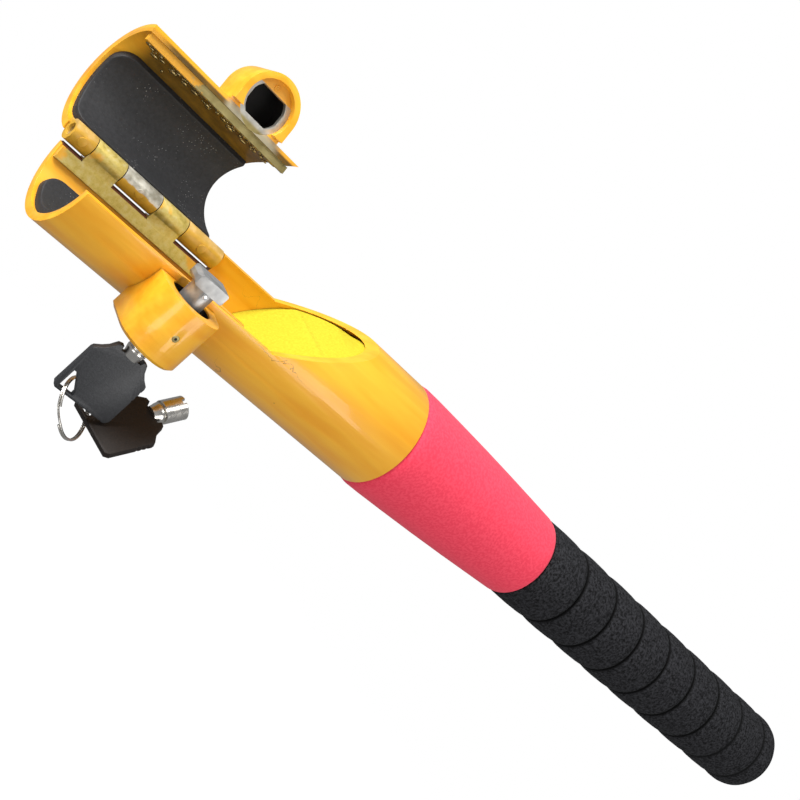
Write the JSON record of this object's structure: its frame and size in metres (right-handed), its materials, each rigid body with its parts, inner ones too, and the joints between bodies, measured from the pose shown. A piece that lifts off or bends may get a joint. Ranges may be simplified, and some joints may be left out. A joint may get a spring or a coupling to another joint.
{
  "type": "steering wheel lock",
  "caption": "Bat-shaped steering wheel lock: a padded hinged jaw on a scarfed yellow tube with a turning T-bolt lock and keys, and a foam-covered handle.",
  "frame": {"origin": "on the axis of the body tube, midway along the jaw, which is the centre of the clamped rim", "axes": "+X runs along the tube from the jaw to the grip, +Z is the normal of the jaw's parting plane towards the hinged half, +Y points to the hinge side and the lock is on the -Y side"},
  "size_m": [0.4854, 0.0999, 0.1338],
  "materials": {
    "enamel": "glossy yellow-orange enamel",
    "plated_hinge": "yellow zinc plating, satin",
    "rubber_pad": "matt moulded rubber",
    "yellow_foam": "fine open-cell foam",
    "red_foam": "soft foam with a fine nap",
    "black_foam": "closed-cell foam, matt",
    "bare_steel": "bare steel, satin",
    "zinc_steel": "bright zinc plate",
    "bright_steel": "ground steel",
    "lock_metal": "machined brass",
    "nickel": "polished nickel",
    "key_plastic": "matt moulded plastic"
  },
  "bodies": {
    "body": {"body_tube": "enamel", "hinge_leaf": "plated_hinge", "lower_pad": "rubber_pad", "wall_lip": "enamel", "mouth_plug": "yellow_foam", "lock_boss": "enamel", "lock_barrel": "lock_metal", "barrel_pin": "bright_steel", "pin_sleeve": "lock_metal", "driver_pins": "lock_metal", "pin_springs": "bright_steel", "tube_adapter": "bare_steel", "handle_tube": "bare_steel", "red_sleeve": "red_foam", "grip_foam": "black_foam"},
    "upper_jaw": {"upper_shell": "enamel", "upper_knuckles": "plated_hinge", "knuckle_welds": "plated_hinge", "hinge_pin": "bright_steel", "upper_pad": "rubber_pad", "catch_boss": "enamel", "keeper_plate": "bare_steel"},
    "lock_core": {"lock_spindle": "lock_metal", "key_pins": "lock_metal", "t_bolt": "zinc_steel", "bolt_pin": "bright_steel"},
    "key": {"key_shank": "nickel", "key_bow": "key_plastic"},
    "ring": {"split_ring": "nickel"},
    "spare_key": {"spare_shank": "nickel", "spare_bow": "key_plastic"}
  },
  "joints": [
    {"name": "jaw_hinge", "type": "hinge", "parent": "body", "child": "upper_jaw", "pos_m": [0, 0.0233, 0.00225], "axis": [1, 0, 0], "range_deg": [0, 108.5]},
    {"name": "key_turn", "type": "hinge", "parent": "body", "child": "lock_core", "pos_m": [0.012, -0.0305, 0], "axis": [0, 0, 1], "range_deg": [0, 90]},
    {"name": "key_slide", "type": "slide", "parent": "lock_core", "child": "key", "axis": [0, 0, -1], "range_m": [0, 0.016]},
    {"name": "ring_swing", "type": "hinge", "parent": "key", "child": "ring", "pos_m": [0.0034, -0.0305, -0.052], "axis": [0.3101, 0.8324, 0.4592], "range_deg": [0, 20]},
    {"name": "spare_swing", "type": "hinge", "parent": "ring", "child": "spare_key", "pos_m": [0.01995, -0.02286, -0.05764], "axis": [0.4993, -0.4588, -0.735], "range_deg": [-20, 0]}
  ]
}
